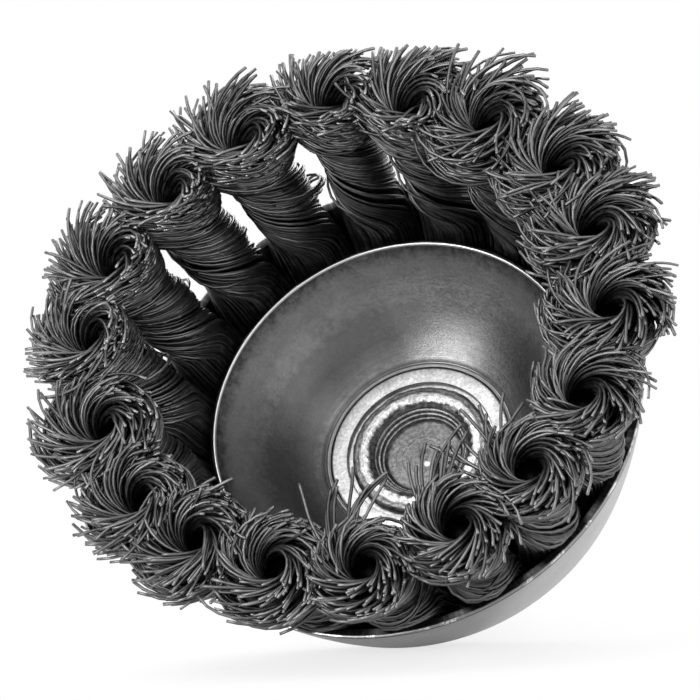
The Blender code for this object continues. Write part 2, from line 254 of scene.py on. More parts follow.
def dish_material():
    """Satin pressed steel: painted light in its tone by radius, dark mottled band and bright edge
    (partly a painted highlight) at the rim, circles at the washer.
    """
    material, tree, shader = new_metal("dish_steel")
    vector, radius, height = tree.brush_coordinates()
    rings = tree.noise(tree.ring_vector(radius, height), 9000.0, 6.0, 0.7)
    blotch = tree.noise(vector, 160.0, 4.0)
    speck = tree.noise(vector, 2600.0, 2.0)
    rough_edge = tree.noise(vector, 900.0, 5.0, 0.7)

    uneven = tree.plus(radius, tree.spread(rough_edge, -0.7 * MM, 0.6 * MM))
    # Tone by radius: its rise and fall from the washer out to 24 mm is painted light, lighter at
    # the washer, darkest near 17 mm and brightest near 23 mm; the dark mottled band at the rim
    # follows
    base = tree.ramp(tree.map_range(uneven, 12.0 * MM, 25.5 * MM),
                     ((0.0, 0.30), (0.10, 0.24), (0.16, 0.16), (0.35, 0.105), (0.55, 0.155),
                      (0.70, 0.33), (0.84, 0.44), (0.89, 0.34), (0.93, 0.20), (0.96, 0.11),
                      (1.0, 0.06)))
    stain = tree.ramp(blotch, ((0.3, 0.84), (0.7, 1.12)))
    near_washer = tree.map_range(radius, 14.0 * MM, 19.0 * MM, 1.0, 0.12)
    turning = tree.times(tree.maths("SUBTRACT", rings, 0.5), near_washer)
    streak = tree.ramp(tree.plus(turning, speck, 0.3), ((0.0, 0.80), (0.35, 1.22)))
    colour = tree.multiply(tree.multiply(base, stain), streak)
    # The rim's near-white edge: worn metal, and partly a painted highlight on the rolled rim
    edge = tree.ramp(tree.map_range(radius, 24.5 * MM, 25.5 * MM),
                     ((0.30, 0.0), (0.38, 1.0), (0.60, 1.0), (0.68, 0.0)))

    turned = tree.map_range(radius, 13.0 * MM, 20.0 * MM, 1.0, 0.2)
    band = tree.map_range(radius, 22.0 * MM, 24.3 * MM, 0.2, 2.4)
    relief = tree.plus(tree.times(rings, turned), rough_edge, band)
    relief = tree.plus(relief, speck, 0.6)
    tree.feed(shader, {"Base Color": tree.blend(colour, WORN_EDGE_AND_HIGHLIGHT, edge),
                       "Roughness": tree.plus(tree.spread(rings, 0.30, 0.38),
                                              tree.spread(speck, -0.03, 0.05)),
                       "Normal": tree.bump(relief, 0.6, 0.035 * MM)})
    return material


def cup_material():
    """Smooth satin steel of the cup: bright worn rim with chips, its near-white edge partly a
    painted highlight, and dark streaked inside, partly painted shade.

    The mesh's part tone is 0 outside, 1 on the rim and 0.5 inside.
    """
    material, tree, shader = new_metal("cup_steel")
    vector, radius, height = tree.brush_coordinates()
    speck = tree.noise(vector, 2200.0, 2.0)
    blotch = tree.noise(vector, 120.0, 3.0)
    wear = tree.noise(vector, 260.0, 4.0, 0.6)
    rings = tree.noise(tree.ring_vector(radius, height), 3000.0, 4.0)
    streaks = tree.noise(tree.angle_vector(vector, 55.0), 1.0, 4.0, 0.6)

    outside = tree.multiply(tree.ramp(blotch, ((0.3, 0.42), (0.7, 0.49))),
                            tree.ramp(speck, ((0.3, 0.86), (0.6, 1.05))))
    # The inside and the rim's top face are dark and streaked; their darkness is partly painted
    # shade of the gap by the knots
    inside = tree.ramp(streaks, ((0.3, 0.02), (0.55, 0.06), (0.72, 0.16)))
    tone = tree.add("Attribute", attribute_name=PART_TONE).outputs["Fac"]
    colour = tree.blend(outside, inside, tree.map_range(tone, 0.3, 0.48))
    # The rim's near-white edge is worn metal and partly a painted highlight on its rounding
    edge = tree.times(tree.map_range(tone, 0.6, 0.9), tree.map_range(wear, 0.54, 0.60, 0.38, 1.0))
    for angle, size in RIM_CHIPS:
        turn = math.radians(angle)
        centre = (CUP_RIM_RADIUS * math.cos(turn), CUP_RIM_RADIUS * math.sin(turn), CUP_RIM_HEIGHT)
        chip = tree.times(tree.spot(vector, centre, size * MM),
                          tree.map_range(speck, 0.42, 0.50, 0.1, 1.0))
        edge = tree.largest(edge, tree.times(chip, tree.map_range(tone, 0.55, 0.75)))

    relief = tree.plus(speck, wear, 0.5)
    tree.feed(shader, {"Base Color": tree.blend(colour, WORN_EDGE_AND_HIGHLIGHT, edge),
                       "Roughness": tree.plus(tree.spread(speck, 0.36, 0.44),
                                              tree.spread(rings, -0.03, 0.03)),
                       "Normal": tree.bump(relief, 0.3, 0.02 * MM)})
    return material


def washer_material():
    """Bright speckled face of the washer."""
    material, tree, shader = new_metal("washer_steel")
    vector = tree.brush_coordinates()[0]
    speck = tree.noise(vector, 2400.0, 3.0, 0.6)
    blotch = tree.noise(vector, 500.0, 3.0)
    total = tree.plus(tree.times(speck, 0.6), blotch, 0.4)
    tree.feed(shader, {"Base Color": tree.ramp(total, ((0.34, 0.40), (0.5, 0.62), (0.62, 0.82))),
                       "Roughness": 0.5,
                       "Normal": tree.bump(speck, 0.5, 0.03 * MM)})
    return material


def hub_material():
    """Turned steel of the hub: circles in the recess, ragged bright lip with gouges and painted
    shade on its outer flank, plain back.
    """
    material, tree, shader = new_metal("hub_steel")
    vector, radius, height = tree.brush_coordinates()
    rings = tree.noise(tree.ring_vector(radius, height), 5000.0, 5.0, 0.7)
    speck = tree.noise(vector, 1800.0, 4.0, 0.7)
    torn = tree.noise(vector, 900.0, 3.0)

    uneven = tree.plus(radius, tree.spread(torn, -0.25 * MM, 0.25 * MM))
    # Tone by radius; the dark outer flank of the lip, at the groove by the washer, is painted shade
    base = tree.ramp(tree.map_range(uneven, 0.0, 9.4 * MM),
                     ((0.0, 0.19), (0.52, 0.17), (0.56, 0.18), (0.64, 0.26), (0.715, 0.24),
                      (0.735, 0.12), (0.765, 0.62), (0.87, 0.52), (0.90, 0.18), (0.93, 0.42),
                      (0.965, 0.34), (0.985, 0.10)))
    grain = tree.ramp(speck, ((0.36, 0.50), (0.5, 0.95), (0.64, 1.55)))
    circles = tree.ramp(rings, ((0.3, 0.60), (0.7, 1.40)))
    colour = tree.multiply(tree.multiply(base, grain), circles)
    for x, y, z, size in GOUGES:
        share = tree.times(tree.spot(vector, (x * MM, y * MM, z * MM), size * MM),
                           tree.map_range(torn, 0.42, 0.50))
        colour = tree.blend(colour, GOUGED, share)
    behind = tree.map_range(height, -17.0 * MM, -16.0 * MM, 1.0, 0.0)

    relief = tree.plus(rings, speck, 0.8)
    tree.feed(shader, {"Base Color": tree.blend(colour, grey(0.42), behind),
                       "Roughness": tree.spread(speck, 0.28, 0.46),
                       "Normal": tree.bump(relief, 0.8, 0.07 * MM)})
    return material


# Meshes

# Faces of the turned pieces that meet at more than this angle keep a sharp edge
SHARP_ANGLE = math.radians(38)


def paint(data, name, tone):
    """Grey value for each vertex, for the material to read."""
    colours = data.color_attributes.new(name, "FLOAT_COLOR", "POINT")
    rows = np.stack([tone, tone, tone, np.ones_like(tone)], axis=-1)
    colours.data.foreach_set("color", rows.ravel())


def place(name, data):
    """Object from a mesh in the brush's frame, moved to its place in the mesh itself."""
    data.transform(BRUSH)
    piece = bpy.data.objects.new(name, data)
    bpy.context.scene.collection.objects.link(piece)
    return piece


def dress(piece, material, slot, *nodes):
    """Finish a piece: give it its material, attach it to the root body and hide the solids that it
    stands for.
    """
    piece.data.materials.append(material)
    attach(piece, "root")
    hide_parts(*nodes)


def millimetres(points):
    return [(radius * MM, height * MM) for radius, height in points]


def arc(start, end, turn, count, inset=0.0):
    """Points from start to end on an arc that turns by the angle turn, moved in by the inset."""
    chord = Vector(end) - Vector(start)
    radius = chord.length / (2 * math.sin(turn / 2))
    towards_centre = Vector((-chord.y, chord.x)).normalized()
    centre = Vector(start) + chord / 2 + towards_centre * radius * math.cos(turn / 2)
    spoke = Vector(start) - centre
    scale = 1 - inset / radius
    return [tuple(centre + (Matrix.Rotation(turn * step / (count - 1), 2) @ spoke) * scale)
            for step in range(count)]


def lathe(name, profile, segments, closed=True, shape=None, tones=None):
    """Profile turned round the brush's axis.

    shape moves the vertices: f(angle, radius, height). An open profile gets flat ends.
    """
    count = len(profile)
    angles = np.arange(segments) * 2 * math.pi / segments
    radius = np.array([point[0] for point in profile])[:, None] + np.zeros(segments)
    height = np.array([point[1] for point in profile])[:, None] + np.zeros(segments)
    if shape:
        radius, height = shape(angles[None, :] + np.zeros((count, 1)), radius, height)
    points = np.stack([radius * np.cos(angles), radius * np.sin(angles), height], axis=-1)
    faces = []
    for row in range(count if closed else count - 1):
        after_row = (row + 1) % count
        for column in range(segments):
            after = (column + 1) % segments
            faces.append((row * segments + column, row * segments + after,
                          after_row * segments + after, after_row * segments + column))
    if not closed:
        faces.append(tuple(range(segments - 1, -1, -1)))
        faces.append(tuple((count - 1) * segments + column for column in range(segments)))
    data = bpy.data.meshes.new(name)
    data.from_pydata(points.reshape(-1, 3).tolist(), [], faces)
    if tones:
        paint(data, PART_TONE, np.repeat(np.array(tones), segments))
    data.validate()
    data.shade_smooth()
    data.set_sharp_from_angle(angle=SHARP_ANGLE)
    return place(name, data)


# Turned and pressed pieces: profiles of (radius, height) in mm

# Turn of the dish's and the cup's walls from bottom to rim
DISH_TURN = math.radians(34)
CUP_WALL_TURN = math.radians(8)
DISH_THICKNESS = 1.0 * MM
CUP_THICKNESS = 1.4 * MM

# The cup and the shank are rounder here than the facets of the solids, and are kept in their box
CUP_SHARE = 0.9962
SHANK_TRIM = 0.006

# Depth of the notches worn into the cup's rim, and the one dent in the hub's lip
RIM_WEAR = 0.08 * MM
LIP_DENT_ANGLE = math.radians(-80)
LIP_DENT_WIDTH = 0.16
LIP_DENT_DEPTH = 0.7 * MM


def make_dish():
    """Pressed dish: rolled bright rim, curved face, fine grooves round the washer's seat."""
    face = arc((13.4 * MM, -10.7 * MM), (24.9 * MM, -0.15 * MM), DISH_TURN, 40)
    under = arc((13.3 * MM, -10.7 * MM), (25.0 * MM, 0.0), DISH_TURN, 20, -DISH_THICKNESS)
    seat = millimetres([(12.34, -13.2), (12.34, -12.6)])
    grooves = millimetres([(12.35, -11.30), (12.42, -11.16), (12.58, -11.10), (12.66, -11.17),
                           (12.76, -11.16), (12.84, -11.03), (12.98, -10.95), (13.08, -11.00),
                           (13.18, -10.91)])
    rim = millimetres([(24.96, -0.06), (25.04, 0.0), (25.16, 0.0), (25.5, -0.18)])
    bottom = millimetres([(8.3, -13.2), (8.3, -14.2), (13.5, -14.2)])
    profile = bottom + under[:-1] + (seat + grooves + face + rim)[::-1]
    piece = lathe("dish", profile, 192)
    dress(piece, dish_material(), "dish_steel", "inner_dish")


def make_cup():
    """Pressed outer cup with a slightly worn rim."""
    back, foot, rim_edge = millimetres([(19.6, -18.2), (28.8, -12.2), (33.8, 1.3)])
    corner_turn = 2 * math.atan2(6.0, 9.2)
    corner = arc(back, foot, corner_turn, 18)
    wall = arc(foot, rim_edge, CUP_WALL_TURN, 12)
    inner_corner = arc(back, foot, corner_turn, 12, CUP_THICKNESS)
    inner_wall = arc(foot, rim_edge, CUP_WALL_TURN, 10, CUP_THICKNESS)
    rim = millimetres([(33.76, 1.42), (33.62, 1.5), (33.55, 1.5), (32.9, 1.47), (32.6, 1.36),
                       (32.5, 1.1)])
    bore = millimetres([(8.3, -16.8), (8.3, -18.1), (8.4, -18.2)])
    outside = bore + corner[:-1] + wall
    profile = outside + rim + (inner_corner[:-1] + inner_wall[:-1])[::-1]

    # The rim's edge is the wall's last point and the rim's first two
    tones = [0.0] * (len(outside) - 1) + [1.0] * 3
    tones += [0.5] * (len(profile) - len(tones))

    def worn(angle, radius, height):
        lift = np.clip((height - 1.0 * MM) / (0.5 * MM), 0, 1)
        wave = (np.sin(angle * 23 + 1.3) * np.sin(angle * 41) * np.sin(angle * 67 + 0.5))
        return radius * CUP_SHARE, height - lift * RIM_WEAR * np.abs(wave)

    piece = lathe("cup", profile, 256, shape=worn, tones=tones)
    dress(piece, cup_material(), "cup_steel", "outer_cup")


def make_washer():
    """Washer with its counterbore and small rounded edges."""
    profile = millimetres([(8.3, -12.0), (8.3, -12.9), (12.1, -12.9), (12.2, -12.8), (12.2, -11.3),
                           (12.12, -11.22), (12.0, -11.2), (10.25, -11.2), (10.14, -11.24),
                           (10.1, -11.32), (10.08, -11.9), (10.0, -12.0)])
    piece = lathe("washer", profile, 160)
    dress(piece, washer_material(), "washer_steel", "clamp_washer")


def make_hub():
    """Turned hub: recess with rings and centre pip, ragged rolled lip, flange and shank."""
    front = millimetres([
        (0.35, -13.15), (0.55, -13.22), (0.8, -13.32), (1.2, -13.34), (2.4, -13.36), (3.6, -13.38),
        (4.7, -13.40), (5.0, -13.38), (5.15, -13.25), (5.35, -13.0), (5.42, -12.86), (5.62, -12.80),
        (5.74, -12.5), (5.82, -12.38), (6.02, -12.32), (6.14, -12.05), (6.24, -11.92),
        (6.42, -11.86), (6.55, -11.6), (6.7, -11.42), (6.85, -11.3), (7.0, -11.12), (7.15, -10.98),
        (7.4, -10.90), (7.8, -10.86), (8.3, -10.88), (8.8, -10.98), (9.15, -11.14), (9.35, -11.34),
        (9.4, -11.5), (9.3, -11.7), (8.0, -11.72)])
    back = millimetres([(8.0, -18.5), (9.8, -18.5), (10.0, -18.7), (10.0, -21.3), (9.8, -21.5),
                        (3.5, -21.5), (3.1, -21.6), (3.0, -22.0), (3.0, -53.4), (2.5, -53.9)])

    def ragged(angle, radius, height):
        lip = np.clip((radius - 6.6 * MM) / (0.4 * MM), 0, 1) * (height > -11.6 * MM)
        inner = np.clip((8.0 * MM - radius) / (1.2 * MM), 0, 1)
        rough = (1.2 * np.sin(angle * 7 + 0.7) + np.sin(angle * 12 + 2.1)
                 + 0.7 * np.sin(angle * 29) + 0.5 * np.sin(angle * 47 + 4.0)) / 3
        radius = radius + lip * (0.10 + 0.10 * inner) * MM * rough
        height = height + lip * 0.05 * MM * np.sin(angle * 37 + radius / MM * 5)
        off_dent = np.angle(np.exp(1j * (angle - LIP_DENT_ANGLE)))
        dent = np.exp(-((off_dent / LIP_DENT_WIDTH) ** 2))
        radius = radius - lip * inner * dent * LIP_DENT_DEPTH
        shank = height < -22.0 * MM
        return radius * (1 - SHANK_TRIM * shank), height - lip * dent * 0.15 * MM

    piece = lathe("hub", front + back, 192, closed=False, shape=ragged)
    dress(piece, hub_material(), "hub_steel", "shank_hub")


# Wires

WIRE_RADIUS = 0.222 * MM
WIRE_SIDES = 4

# The outer wires begin in the throat below the dish's rim. The inner ones show only in the crown
ROOT_HEIGHT = -5.0 * MM
INNER_ROOT_HEIGHT = 13.5 * MM

# What the wires' middles keep from the sides and top of the solids' box, and from the floor
BOX_CLEARANCE = 0.25 * MM
FLOOR_CLEARANCE = 0.25 * MM

# Points that a wire is worked out on in the neck and in the crown, before it is drawn with fewer
NECK_SAMPLES = 48
CROWN_SAMPLES = 61

# The twist: its rate past the onset, how it grows with height, and how softly it begins
TWIST_RATE = 0.235 / MM
TWIST_GROWTH = 0.0075 / MM ** 2
TWIST_EASE = 3.0 * MM

# Two opposite strands of the neck's outer wires begin to twist higher up and lie a little deeper
TWIST_ONSET = 0.6 * MM
LATE_ONSET = 2.8 * MM
LATE_DEPTH = 0.05
LATE_ANGLE = 0.70 * math.pi

# Loops that bulge from the neck: share of the wires, least and largest bulge; the heights in mm
# that they lie between, and their length
BULGES = ((0.16, 0.04, 0.22), (0.02, 0.25, 0.50))
BULGE_HEIGHTS = (4.0, 14.5)
BULGE_LENGTH = 2.0 * MM

# Stout knots grow to their girth, and knots lean aside, between these heights
GIRTH_HEIGHTS = (3.0 * MM, 13.0 * MM)
SHIFT_HEIGHTS = (3.0 * MM, 22.0 * MM)

# The crown widens between these radii, outwards most of all and more so between these heights
REACH_RADII = (4.5 * MM, 8.0 * MM)
REACH_HEIGHTS = (20.0 * MM, 23.5 * MM)
OUTER_REACH, LEAST_OUTER_REACH = 0.17, 0.02
SIDE_DRAW = 0.03

# How the wires of a layer differ: place in the knot, place round it and distance from its middle
PLACE_SPREAD = 0.035
TURN_JITTER = 0.45
DISTANCE_SPREAD = 0.015

# How the wires scatter in the crown, in mm: where they end, in radius and height, where they bend,
# how far loose ones rise or fall, and how much further strays reach
END_RADIUS_SPREAD, END_HEIGHT_SPREAD = 0.9, 0.4
BEND_SPREAD = 0.40
LOOSE_RISE = 1.2
STRAY_REACH = (0.5, 2.6)

# Looseness, from 0 to 1: the power makes loose wires rare, and strays have one of their own
LOOSE_POWER = 2.5
STRAY_LOOSENESS = 0.7

# How the wires' angles scatter in the crown: in clumps, each by itself, more if it is loose, and
# how much straighter a loose wire runs, with the share of each at the last two control points
CLUMP_TURN = 0.20
CLUMP_PHASE = 9
WANDER, LOOSE_WANDER = 0.07, 0.24
WANDER_SHARES = np.array([0.6, 1.4])
STRAIGHTENED = 0.30
STRAIGHT_SHARES = np.array([0.5, 1.0])
STEEPEST = math.radians(80)

# Layers below this place lie calmly on the outside of the knot. A wire stops somewhere between the
# given share of its way through the crown and its end
OUTSIDE = 0.2
OUTSIDE_CALM = 0.15
LEAST_END_CALM = 0.4
OUTSIDE_STOP, INSIDE_STOP = 0.88, 0.74

# Control points (radius, height in mm) of a wire's rise through the crown, from the outermost wires
# to those round the hollow, and the angles of the wire to its meridian on the way
FLOWS = np.array([
    [(4.10, 15.8), (4.4, 17.4), (8.2, 17.4), (7.2, 21.6)],
    [(3.60, 16.2), (3.9, 18.6), (7.8, 18.7), (7.6, 22.4)],
    [(2.90, 16.8), (3.1, 20.4), (6.2, 21.0), (8.0, 23.1)],
    [(2.30, 17.2), (2.3, 22.2), (3.6, 23.7), (8.0, 24.2)],
    [(1.95, 17.6), (1.9, 22.8), (2.5, 25.2), (7.4, 24.6)]]) * MM
ANGLES = np.radians([
    [52, 67, 76, 78],
    [48, 62, 73, 73],
    [42, 54, 66, 60],
    [36, 50, 60, 42],
    [34, 54, 66, 42]])

# A layer of a knot's wires: their number, place from the outermost 0 to the innermost 1, root's
# height, points drawn in the neck and in the crown, and whether they stray
Layer = namedtuple("Layer", "wires place root neck_points crown_points stray", defaults=(False,))
LAYERS = (
    Layer(56, 0.0, ROOT_HEIGHT, 13, 18),
    Layer(48, 0.13, ROOT_HEIGHT, 11, 15),
    Layer(44, 0.28, INNER_ROOT_HEIGHT, 3, 13),
    Layer(40, 0.43, INNER_ROOT_HEIGHT, 3, 12),
    Layer(38, 0.58, INNER_ROOT_HEIGHT, 3, 12),
    Layer(32, 0.72, INNER_ROOT_HEIGHT, 3, 13),
    Layer(26, 0.86, INNER_ROOT_HEIGHT, 3, 14),
    Layer(18, 1.0, INNER_ROOT_HEIGHT, 3, 15),
    Layer(6, 0.8, INNER_ROOT_HEIGHT, 3, 20, True),
)

# Long wires over the dish: the ones that end furthest inwards are kept
STRAGGLES = Layer(150, 0.75, INNER_ROOT_HEIGHT, 3, 24, True)
STRAGGLES_KEPT = 10
STRAGGLE_REACH = 0.28
STRAGGLE_SWIRL = 0.84

# The core: radius and height in mm up its crown, over its top and down into the hollow
CORE_CROWN = ((3.6, 16.4), (4.4, 17.6), (5.4, 18.4), (5.9, 19.2), (5.8, 20.2), (5.2, 20.8),
              (4.4, 21.0), (3.4, 20.8), (2.3, 20.2), (1.6, 19.2), (1.4, 17.2))
CORE_NECK = (ROOT_HEIGHT - 0.5 * MM, 16.0 * MM)
CORE_NECK_ROWS = 14
CORE_SIDES = 28
CORE_SHARE = 0.9
CORE_REACH = 1.25
# The core's near-black tone is painted shade inside the bundle
CORE_PAINTED_SHADE_TONE = 0.014

# Tones of the wires and of their cut ends; the brighter tip tone is a painted highlight on some
# knots
TONES = (0.07, 0.23)
STRAGGLE_TONES = (0.10, 0.20)
TIP_TONE = 0.24
PAINTED_HIGHLIGHT_TIP_TONE = 0.34
STRAGGLE_TIP_TONE = 0.25

# The knots' habits, as the photo shows them: how much a crown is drawn in on the side towards the
# dish, how much less far the short knots' wires reach, and how much thicker the stout knots are
USUAL_DRAW, DRAWN_IN, BUSHY = 0.10, 0.42, -0.12
SHORTER = 0.11
STOUTER = 0.13
SHORT_KNOTS = (0, 1, 2, 3)
DRAWN_IN_KNOTS = (8, 9, 10, 11, 12, 13)
BUSHY_KNOTS = (4, 5, 6, 7)
STRAGGLY_KNOTS = (0, 1, 2)
STOUT_KNOTS = (10, 11, 12)
# Knots whose cut ends get a painted highlight
PAINTED_HIGHLIGHT_KNOTS = (8, 9, 10, 11, 12, 13, 14)

# How far each knot leans outwards and sideways, in mm
SHIFTS = ((0.10, -0.70), (-0.95, 0.30), (-1.10, 0.30), (-0.65, 0.35), (-0.20, 1.20), (-0.50, 1.50),
          (-0.15, 0.75), (-0.70, 1.50), (-0.80, 1.30), (0.85, 0.25), (0.10, 0.95), (0.55, 0.85),
          (1.50, 0.70), (1.10, -0.60), (0.15, 0.95), (0.30, 1.30), (-0.20, -0.50), (-0.20, -0.60))


def smooth(value, low, high):
    share = np.clip((value - low) / (high - low), 0, 1)
    return share * share * (3 - 2 * share)


def between(table, position):
    """Rows of a table at the given positions from 0 to 1."""
    row = np.clip(position, 0, 1) * (len(table) - 1)
    low = np.minimum(row.astype(int), len(table) - 2)
    share = (row - low).reshape((-1,) + (1,) * (table.ndim - 1))
    return table[low] * (1 - share) + table[low + 1] * share


def centre_line(height):
    """Distance of the knot's centre line from the brush's axis."""
    above = np.maximum(height - MOUTH_HEIGHT, 0)
    below = np.minimum(height - MOUTH_HEIGHT, 0)
    return MOUTH_CENTRE + KNOT_LEAN * above + THROAT_LEAN * below


def lean(height):
    """Slope of the knot's cross-section at a height."""
    neck = KNOT_LEAN * smooth(height, 0.0, NECK_START)
    return neck + (CROWN_LEAN - KNOT_LEAN) * smooth(height, LEAN_START, LEAN_END)


def in_knot(radius, angle, height):
    """Points from polar coordinates about the knot's centre line."""
    outwards = radius * np.cos(angle)
    return np.stack([centre_line(height) + outwards, radius * np.sin(angle),
                     height - lean(height) * outwards], axis=-1)


def twist_angle(height, onset):
    """Left-hand twist: none below the onset, then faster towards the crown."""
    above = np.maximum(height - onset, 0)
    start = above * above / (above + TWIST_EASE)
    return -(TWIST_RATE * start + TWIST_GROWTH * above * above)


def body_radius(angle, height):
    """Outline of the twisted body: a flat oval at the mouth, round in the neck."""
    rounding = smooth(height, 0.0, NECK_START)
    depth = MOUTH_DEPTH + (NECK_RADIUS - MOUTH_DEPTH) * rounding
    width = MOUTH_WIDTH + (NECK_RADIUS - MOUTH_WIDTH) * rounding
    return 1 / np.hypot(np.cos(angle) / depth, np.sin(angle) / width)


def reach(radius, angle, height, habit):
    """How much further the crown reaches outwards than sideways and inwards."""
    grown = smooth(radius, *REACH_RADII)
    cosine, sine = np.cos(angle), np.sin(angle)
    outer = OUTER_REACH * smooth(height, *REACH_HEIGHTS) + LEAST_OUTER_REACH
    side = np.where(cosine > 0, outer, habit["inner"])
    return 1 + grown * (side * cosine - SIDE_DRAW * sine ** 2 + habit["reach"])


def neck_paths(rng, heights, angle, share, habit):
    """Rise of the wires through the twisted neck. Some bulge from it as loops."""
    count = len(heights)
    bulge = np.zeros(count)
    for chance, least, largest in BULGES:
        bulge += (rng.uniform(0, 1, count) < chance) * rng.uniform(least, largest, count)
    middle = rng.uniform(*BULGE_HEIGHTS, count) * MM
    loop = 1 + bulge[:, None] * np.exp(-((heights - middle[:, None]) / BULGE_LENGTH) ** 2)
    loop += habit["girth"] * smooth(heights, *GIRTH_HEIGHTS)
    return in_knot(share[:, None] * loop * body_radius(angle, heights), angle, heights)


def loosened(rng, layer, flow, slant, start, habit):
    """The crown's control points and angles, with each wire's own way.

    Wires that part from the bundle end further out, or higher or lower than the rest.
    """
    count, inward = layer.wires, layer.place
    calm = OUTSIDE_CALM if inward < OUTSIDE else 1.0
    if layer.stray:
        loose = np.full(count, STRAY_LOOSENESS)
    else:
        loose = rng.uniform(0, 1, count) ** LOOSE_POWER
    flow[:, 3, 0] += (rng.normal(0, END_RADIUS_SPREAD, count) * max(calm, LEAST_END_CALM)
                      + loose * inward + layer.stray * rng.uniform(*STRAY_REACH, count)) * MM
    flow[:, 3, 1] += (rng.normal(0, END_HEIGHT_SPREAD, count)
                      + LOOSE_RISE * loose * rng.uniform(-0.9, 1.0, count)) * MM
    flow[:, 2] += rng.normal(0, BEND_SPREAD, (count, 2)) * calm * MM
    phase = habit["phase"] + CLUMP_PHASE * inward
    clump = CLUMP_TURN * calm * np.sin(habit["clumps"] * start + phase)
    loose = loose[:, None]
    wander = rng.normal(0, 1, (count, 1)) * (WANDER + LOOSE_WANDER * loose) * calm
    slant[:, 2:] += ((wander + clump[:, None]) * WANDER_SHARES
                     - STRAIGHTENED * inward * loose * STRAIGHT_SHARES)
    return flow, np.minimum(slant * habit["swirl"], STEEPEST)


def crown_paths(flow, slant, stop, angle, habit):
    """Way of the wires through the crown, from their angle at the neck's top to their stop."""
    time = stop[:, None] * np.linspace(0, 1, CROWN_SAMPLES)
    weights = np.stack([(1 - time) ** 3, 3 * time * (1 - time) ** 2, 3 * time ** 2 * (1 - time),
                        time ** 3], axis=-1)
    meridian = weights @ flow
    slant = np.sum(weights * slant[:, None, :], axis=-1)
    step = np.diff(meridian, axis=1)
    middle = (meridian[:, 1:, 0] + meridian[:, :-1, 0]) / 2
    slant = (slant[:, 1:] + slant[:, :-1]) / 2
    turned = np.cumsum(np.tan(slant) * np.hypot(step[..., 0], step[..., 1]) / middle, axis=1)
    angle = angle[:, None] - turned
    radius, height = meridian[:, 1:, 0], meridian[:, 1:, 1]
    return in_knot(radius * reach(radius, angle, height, habit), angle, height)


def wire_paths(rng, layer, habit):
    """Paths of one layer of wires: up the twisted neck, then out through the crown."""
    count, outside = layer.wires, layer.place < OUTSIDE
    depth = np.clip(layer.place + rng.normal(0, PLACE_SPREAD, count), 0, 1)
    even = np.arange(count) + rng.uniform(-TURN_JITTER, TURN_JITTER, count)
    start = even * 2 * math.pi / count + rng.uniform(0, 6)
    late = np.maximum(np.cos(2 * (start - LATE_ANGLE)), 0) * outside
    flow, slant = between(FLOWS, depth), between(ANGLES, depth)
    share = flow[:, 0, 0] / NECK_RADIUS * (1 - LATE_DEPTH * late)
    share *= rng.normal(1.0, DISTANCE_SPREAD, count)

    heights = layer.root + (flow[:, 0, 1, None] - layer.root) * np.linspace(0, 1, NECK_SAMPLES)
    onset = TWIST_ONSET + LATE_ONSET * late
    angle = start[:, None] + twist_angle(heights, onset[:, None])
    neck = neck_paths(rng, heights, angle, share, habit)

    flow[:, 0, 0] = share * NECK_RADIUS * (1 + habit["girth"])
    flow, slant = loosened(rng, layer, flow, slant, start, habit)
    stop = rng.uniform(OUTSIDE_STOP if outside else INSIDE_STOP, 1.0, count)
    crown = crown_paths(flow, slant, stop, angle[:, -1], habit)
    points = layer.neck_points + layer.crown_points
    return leaned(resampled(np.concatenate([neck, crown], axis=1), points), habit["shift"])


def resampled(paths, count):
    """The paths with a number of points evenly spaced along each."""
    steps = np.linalg.norm(np.diff(paths, axis=1), axis=-1)
    lengths = np.concatenate([np.zeros((len(paths), 1)), np.cumsum(steps, axis=1)], axis=1)
    targets = lengths[:, -1:] * np.linspace(0, 1, count)
    return np.stack([
        np.stack([np.interp(target, length, path[:, axis]) for axis in range(3)], axis=-1)
        for target, length, path in zip(targets, lengths, paths)])


def leaned(points, shift):
    """Points of a knot moved aside, more so towards the crown."""
    points[..., :2] += smooth(points[..., 2], *SHIFT_HEIGHTS)[..., None] * shift
    return points


def turned_by(points, angle):
    """Points turned round the brush's axis."""
    x, y = points[..., 0], points[..., 1]
    cosine, sine = math.cos(angle), math.sin(angle)
    return np.stack([x * cosine - y * sine, x * sine + y * cosine, points[..., 2]], axis=-1)


def allowed(points):
    """True where a wire's point lies inside the brush's reach and above the floor."""
    matrix = np.array(BRUSH)
    world = points @ matrix[:3, :3].T + matrix[:3, 3]
    inside = np.hypot(points[..., 0], points[..., 1]) < CROWN_RADIUS
    low = np.array(CAD_BOX[0]) + np.array([BOX_CLEARANCE, BOX_CLEARANCE, FLOOR_CLEARANCE])
    high = np.array(CAD_BOX[1]) - BOX_CLEARANCE
    return inside & np.all(world > low, axis=-1) & np.all(world < high, axis=-1)


def trimmed(paths):
    """Shorten each wire to the stretch that is allowed, keeping its number of points."""
    good = allowed(paths)
    count = paths.shape[1]
    first_bad = np.where(good.all(axis=1), count, np.argmin(good, axis=1))
    keep = np.maximum(first_bad - 1, 2).astype(float)
    positions = np.linspace(0, 1, count)[None, :] * keep[:, None]
    positions = np.minimum(positions, count - 1)
    low = np.floor(positions).astype(int)
    high = np.minimum(low + 1, count - 1)
    share = (positions - low)[..., None]
    rows = np.arange(paths.shape[0])[:, None]
    return paths[rows, low] * (1 - share) + paths[rows, high] * share


